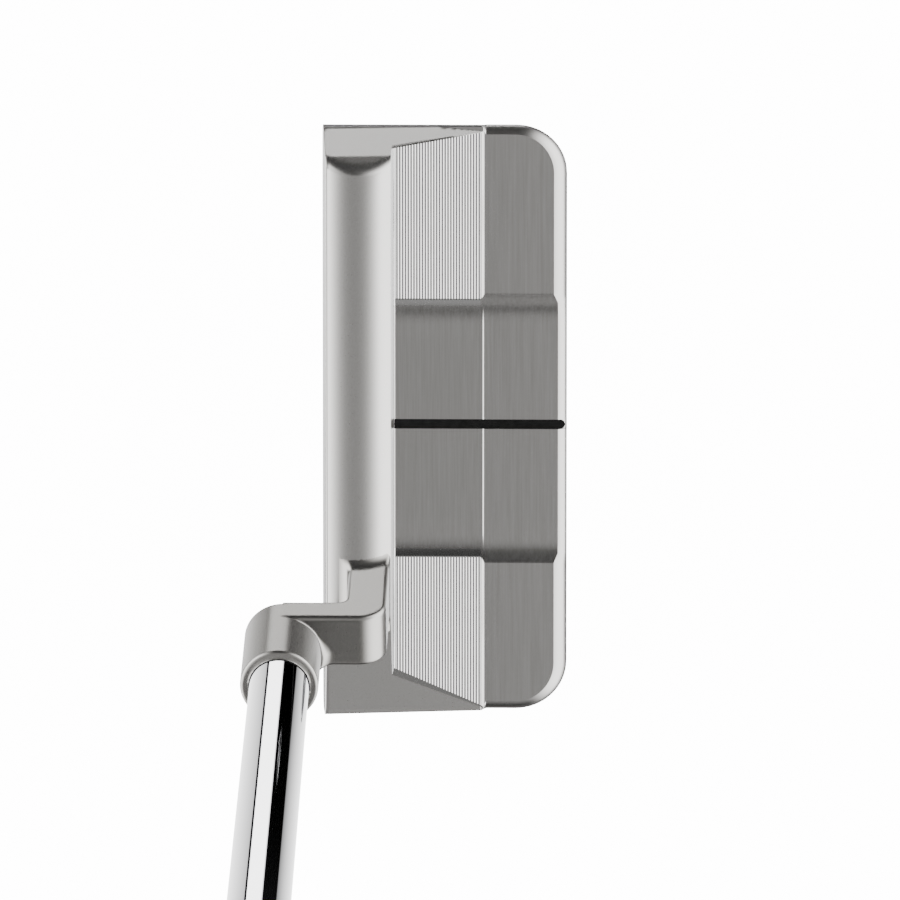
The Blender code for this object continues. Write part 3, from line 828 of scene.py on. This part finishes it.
def pocket_mesh(low, high):
    """The stepped pocket that a sole weight sits in, with a chamfered mouth."""
    x, y = (low[:2] + high[:2]) / 2.0
    radius = (high[0] - low[0]) / 2.0 + 0.25
    z = low[2]
    ledge = 1.5 + 0.86
    profile = [(0.0, -3.0), (radius + 0.25, -3.0), (radius + 0.25, -0.2), (radius, 0.12), (radius, ledge),
               (4.2, ledge), (4.2, high[2] - z + 0.3), (0.0, high[2] - z + 0.3)]
    mesh = turned_mesh("pocket", profile, Matrix.Translation(Vector((x, y, z))), 96)
    face_out(mesh)
    return mesh


# ---- finishes ----------------------------------------------------------------------------------
def shader_nodes(name):
    mat = bpy.data.materials.new(name)
    mat.use_nodes = True
    tree = mat.node_tree
    return mat, tree, tree.nodes["Principled BSDF"]


def add(tree, kind, **inputs):
    node = tree.nodes.new(kind)
    for key, value in inputs.items():
        if hasattr(node, key):
            setattr(node, key, value)
        else:
            node.inputs[key.replace("_", " ")].default_value = value
    return node


def grain(tree, stretch, scale, detail=6.0):
    """Noise in object space, stretched along one direction for a brushed look."""
    place = add(tree, "ShaderNodeTexCoord")
    mapping = add(tree, "ShaderNodeMapping")
    mapping.inputs["Scale"].default_value = stretch
    noise = add(tree, "ShaderNodeTexNoise", Scale=scale, Detail=detail, Roughness=0.6)
    tree.links.new(place.outputs["Object"], mapping.inputs["Vector"])
    tree.links.new(mapping.outputs["Vector"], noise.inputs["Vector"])
    return noise


def ramp_between(tree, source, low, high, black=0.3, white=0.7):
    node = add(tree, "ShaderNodeMapRange")
    node.inputs["From Min"].default_value = black
    node.inputs["From Max"].default_value = white
    node.inputs["To Min"].default_value = low
    node.inputs["To Max"].default_value = high
    tree.links.new(source, node.inputs["Value"])
    return node


def tint(tree, source, dark, light):
    node = add(tree, "ShaderNodeValToRGB")
    node.color_ramp.elements[0].position = 0.3
    node.color_ramp.elements[1].position = 0.7
    node.color_ramp.elements[0].color = (*dark, 1.0)
    node.color_ramp.elements[1].color = (*light, 1.0)
    tree.links.new(source, node.inputs["Fac"])
    return node


EVEN_GRAIN = (1.0, 1.0, 1.0)
GROOVE_GRAIN = (0.15, 1.0, 1.0)


def metal(name, dark, light, rough, stretch, scale, bump):
    """Steel with a directional grain in its colour, roughness and bump."""
    mat, tree, shader = shader_nodes(name)
    shader.inputs["Metallic"].default_value = 1.0
    noise = grain(tree, stretch, scale)
    colour = tint(tree, noise.outputs["Fac"], dark, light)
    tree.links.new(colour.outputs["Color"], shader.inputs["Base Color"])
    spread = ramp_between(tree, noise.outputs["Fac"], rough * 0.94, rough * 1.06)
    tree.links.new(spread.outputs["Result"], shader.inputs["Roughness"])
    relief = add(tree, "ShaderNodeBump", Strength=bump, Distance=0.00002)
    tree.links.new(noise.outputs["Fac"], relief.inputs["Height"])
    tree.links.new(relief.outputs["Normal"], shader.inputs["Normal"])
    return mat


def polymer(name, dark, light, rough, scale, bump, specular=0.2):
    """Rubber, enamel, adhesive or tape with a fine uneven surface."""
    mat, tree, shader = shader_nodes(name)
    shader.inputs["Specular IOR Level"].default_value = specular
    noise = grain(tree, EVEN_GRAIN, scale)
    colour = tint(tree, noise.outputs["Fac"], dark, light)
    tree.links.new(colour.outputs["Color"], shader.inputs["Base Color"])
    spread = ramp_between(tree, noise.outputs["Fac"], rough - 0.06, rough + 0.06)
    tree.links.new(spread.outputs["Result"], shader.inputs["Roughness"])
    relief = add(tree, "ShaderNodeBump", Strength=bump, Distance=0.00004)
    tree.links.new(noise.outputs["Fac"], relief.inputs["Height"])
    tree.links.new(relief.outputs["Normal"], shader.inputs["Normal"])
    return mat


STEEL_DARK, STEEL_LIGHT = (0.52, 0.51, 0.49), (0.60, 0.59, 0.575)
satin = metal("satin_steel", (0.545, 0.535, 0.515), (0.575, 0.565, 0.55), 0.29, EVEN_GRAIN, 3000.0, 0.02)
# The neck is the same milled steel as the head with a darker base colour: painted shade for the neck's darker
# look under the overhead light.
neck_steel_painted_shade = metal("neck_steel_painted_shade", (0.405, 0.395, 0.375), (0.435, 0.425, 0.405), 0.29, EVEN_GRAIN, 3000.0, 0.02)
# The grooved fields are smoother cut steel, which is real, with a brighter base colour than the head's satin
# steel, which is a painted highlight.
groove_steel_painted_highlight = metal("groove_steel_painted_highlight", (0.70, 0.69, 0.68), (0.78, 0.77, 0.76), 0.2, GROOVE_GRAIN, 3000.0, 0.08)
channel_steel = metal("channel_steel", STEEL_DARK, STEEL_LIGHT, 0.30, (0.03, 1.0, 1.0), 2600.0, 0.08)
flange_steel = metal("flange_steel", STEEL_DARK, STEEL_LIGHT, 0.30, (0.03, 1.0, 1.0), 1900.0, 0.12)
sole_steel = metal("sole_steel", STEEL_DARK, STEEL_LIGHT, 0.30, (0.04, 1.0, 1.0), 2200.0, 0.1)
chrome = metal("mirror_chrome", (0.90, 0.90, 0.91), (0.93, 0.93, 0.935), 0.045, (1.0, 1.0, 0.2), 60.0, 0.01)
weight_metal = metal("weight_metal", (0.36, 0.36, 0.37), (0.44, 0.44, 0.45), 0.28, EVEN_GRAIN, 2500.0, 0.2)
enamel = polymer("black_enamel", (0.006, 0.006, 0.006), (0.014, 0.014, 0.014), 0.5, 900.0, 0.1, 0.15)
epoxy = polymer("epoxy", (0.01, 0.01, 0.01), (0.03, 0.03, 0.03), 0.35, 1200.0, 0.4)
seal = polymer("seal_rubber", (0.012, 0.012, 0.012), (0.03, 0.03, 0.03), 0.6, 1500.0, 0.5)
rubber = polymer("grip_rubber", (0.016, 0.016, 0.017), (0.034, 0.034, 0.035), 0.62, 1800.0, 0.8)
cap_skin = polymer("cap_plastic", (0.02, 0.02, 0.02), (0.035, 0.035, 0.035), 0.45, 1400.0, 0.4)
tape = polymer("grip_tape", (0.62, 0.56, 0.42), (0.76, 0.70, 0.56), 0.75, 500.0, 0.6)
nylon = polymer("plug_nylon", (0.6, 0.56, 0.42), (0.7, 0.66, 0.52), 0.5, 700.0, 0.3)


# ---- pieces ------------------------------------------------------------------------------------
def build_head():
    mesh = head_mesh()
    face_out(mesh)
    head = new_piece("milled_head", mesh, "putter", "milled_steel", "head_body")
    for finish in (satin, groove_steel_painted_highlight, channel_steel, flange_steel, sole_steel):
        mesh.materials.append(finish)
    for side in ("toe", "heel"):
        cut_mesh(head, pocket_mesh(*box_mm(side + "_weight")))
    smooth_mesh(head.data, 24.0)
    head.visible_glossy = False


def build_neck():
    neck = new_piece("milled_neck", neck_mesh(), "putter", "milled_steel", "hosel_neck")
    neck.data.materials.append(neck_steel_painted_shade)
    smooth_mesh(neck.data, 50.0)
    neck.visible_glossy = False


def build_weights():
    for side in ("toe", "heel"):
        node = side + "_weight"
        mesh, centre = weight_mesh(node, *box_mm(node))
        weight = new_piece(side + "_sole_weight", mesh, node, "weight_metal", node)
        cut_mesh(weight, key_mesh(centre))
        weight.data.materials.clear()
        weight.data.materials.append(weight_metal)
        smooth_mesh(weight.data, 35.0)


def build_rest():
    line = new_piece("sight_line_enamel", sight_line_mesh(), "putter", "black_enamel", "sight_line_paint")
    line.data.materials.append(enamel)
    smooth_mesh(line.data, 40.0)
    tube = new_piece("chrome_shaft", shaft_mesh(), "putter", "chrome", "shaft")
    tube.data.materials.append(chrome)
    smooth_mesh(tube.data, 40.0)
    grip = new_piece("pistol_grip", grip_mesh(), "putter", "grip_rubber", "grip_body")
    grip.data.materials.append(rubber)
    smooth_mesh(grip.data, 60.0)
    cap = new_piece("grip_end_cap", cap_mesh(), "putter", "cap_plastic", "grip_cap")
    cap.data.materials.append(cap_skin)
    smooth_mesh(cap.data, 40.0)


KEPT_NODES = {
    "shaft_epoxy": epoxy, "shaft_tip_plug": nylon, "grip_tape": tape,
    "toe_weight_washer": seal, "heel_weight_washer": seal,
}


def finish_kept_nodes():
    for node, finish in KEPT_NODES.items():
        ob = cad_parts[node]
        for slot in ob.material_slots:
            slot.material = finish


# ---- studio ------------------------------------------------------------------------------------
OVERHEAD_LIGHT = 0.42
PANEL_SLOPE = 9.0
PANEL_LIGHT = 4.0
END_LIGHT = 0.05
HEEL_LIGHT = 0.35
GROUND_LIGHT = 0.24
BAND_LIGHT = 5.0
# Brightness round the shaft, by angle in degrees from the toe side towards the rear.
SHAFT_BANDS = [
    (-180.0, 0.80), (-51.0, 0.22), (-49.0, 0.0), (-42.0, 0.0), (-39.5, 1.0), (11.0, 1.0), (16.5, 0.0),
    (69.0, 0.0), (72.0, 0.08), (180.0, 0.80)]


def sky():
    """A soft studio all round: mid-grey overhead, bright panels to the front and rear, dark ends."""
    world = bpy.data.worlds.new("studio")
    bpy.context.scene.world = world
    world.use_nodes = True
    tree = world.node_tree
    background = tree.nodes["Background"]
    direction = add(tree, "ShaderNodeTexCoord")

    def math_node(kind, a, b=None, clamp=False):
        node = tree.nodes.new("ShaderNodeMath")
        node.operation = kind
        node.use_clamp = clamp
        for socket, value in zip(node.inputs, (a, b)):
            if value is None:
                continue
            if isinstance(value, (int, float)):
                socket.default_value = value
            else:
                tree.links.new(value, socket)
        return node.outputs[0]

    def dot(vector):
        node = tree.nodes.new("ShaderNodeVectorMath")
        node.operation = "DOT_PRODUCT"
        tree.links.new(direction.outputs["Generated"], node.inputs[0])
        node.inputs[1].default_value = vector
        return node.outputs["Value"]

    def band(value, low, high):
        node = tree.nodes.new("ShaderNodeMapRange")
        node.interpolation_type = "SMOOTHSTEP"
        node.inputs["From Min"].default_value = low
        node.inputs["From Max"].default_value = high
        tree.links.new(value, node.inputs["Value"])
        return node.outputs["Result"]

    up = dot((0.0, 0.0, 1.0))
    side = math_node("ABSOLUTE", dot((0.0, 1.0, 0.0)))
    level = math_node("SQRT", math_node("SUBTRACT", 1.0, math_node("MULTIPLY", up, up)))
    facing = band(math_node("DIVIDE", side, math_node("MAXIMUM", level, 0.02)), 0.30, 0.85)
    low = math_node("SUBTRACT", 1.0, math_node("MAXIMUM", up, 0.0))
    panels = math_node("MULTIPLY", math_node("POWER", low, 2.0), PANEL_SLOPE)
    panels = math_node("MINIMUM", panels, PANEL_LIGHT)
    panels = math_node("MULTIPLY", panels, facing)
    ends = math_node("MULTIPLY", math_node("SUBTRACT", 1.0, facing), band(low, 0.0, 0.22))
    ends = math_node("MULTIPLY", ends, OVERHEAD_LIGHT - END_LIGHT)
    upper = math_node("SUBTRACT", math_node("ADD", panels, OVERHEAD_LIGHT), ends)
    heel = math_node("MULTIPLY", math_node("MAXIMUM", dot((1.0, 0.0, 0.0)), 0.0), band(low, 0.2, 0.45))
    heel = math_node("MULTIPLY", heel, math_node("SUBTRACT", 1.0, band(low, 0.7, 0.95)))
    upper = math_node("ADD", upper, math_node("MULTIPLY", heel, HEEL_LIGHT))

    # Below the horizon the panels' edges make the long bands on the polished shaft.
    angle = math_node("ARCTAN2", dot((0.0, 1.0, 0.0)), dot(tuple(-ACROSS)))
    turn = math_node("ADD", math_node("DIVIDE", angle, 2.0 * math.pi), 0.5)
    bands = tree.nodes.new("ShaderNodeValToRGB")
    bands.color_ramp.interpolation = "LINEAR"
    ramp = bands.color_ramp
    for k, (degrees, value) in enumerate(SHAFT_BANDS):
        place = degrees / 360.0 + 0.5
        stop = ramp.elements[k] if k < 2 else ramp.elements.new(place)
        stop.position = place
        stop.color = (value, value, value, 1.0)
    tree.links.new(turn, bands.inputs["Fac"])
    bands_light = math_node("MULTIPLY", bands.outputs["Color"], BAND_LIGHT)
    down_shaft = dot(tuple(-AXIS))
    near = math_node("SUBTRACT", band(down_shaft, 0.860, 0.870), band(down_shaft, 0.908, 0.918))
    lower = math_node("ADD", math_node("MULTIPLY", bands_light, near),
                      math_node("MULTIPLY", math_node("SUBTRACT", 1.0, near), GROUND_LIGHT))
    above = band(up, -0.60, -0.42)
    light = math_node("ADD", math_node("MULTIPLY", upper, above),
                      math_node("MULTIPLY", lower, math_node("SUBTRACT", 1.0, above)))
    tree.links.new(light, background.inputs["Color"])
    background.inputs["Strength"].default_value = 1.0


FLOOR_Z = -0.010        # in metres, below the sole by more than a weight's travel
FLOOR_GLOW = 14.0


def floor():
    """A pale ground that only the camera sees."""
    bpy.ops.mesh.primitive_plane_add(size=30.0)
    plane = bpy.context.object
    plane.name = "studio_floor"
    plane.location.z = FLOOR_Z
    plane.visible_glossy = False
    plane.visible_diffuse = False
    mat, _, shader = shader_nodes("pale_floor")
    shader.inputs["Base Color"].default_value = (0.93, 0.93, 0.93, 1.0)
    shader.inputs["Roughness"].default_value = 0.9
    shader.inputs["Specular IOR Level"].default_value = 0.0
    shader.inputs["Emission Color"].default_value = (1.0, 1.0, 1.0, 1.0)
    shader.inputs["Emission Strength"].default_value = FLOOR_GLOW
    plane.data.materials.append(mat)


TARGET = Vector((3.55, 0.9, 15.0)) * MM
VIEW = Vector((-0.122, 0.031, 0.992)).normalized()
CAMERA_DISTANCE = 1.8
LENS = 402.0


def camera():
    """Looks almost straight down, with the toe at the top of the frame and the face to the left."""
    data = bpy.data.cameras.new("camera")
    data.lens = LENS
    data.sensor_width = 36.0
    data.clip_start = 0.01
    data.clip_end = 100.0
    ob = bpy.data.objects.new("camera", data)
    up = Vector((-1.0, 0.0, 0.0))
    up = (up - VIEW * up.dot(VIEW)).normalized()
    right = up.cross(VIEW)
    ob.matrix_world = Matrix.Translation(TARGET + VIEW * CAMERA_DISTANCE) @ Matrix(
        (right, up, VIEW)).transposed().to_4x4()
    bpy.context.scene.collection.objects.link(ob)
    bpy.context.scene.camera = ob


build_head()
build_neck()
build_weights()
build_rest()
finish_kept_nodes()
sky()
floor()
camera()
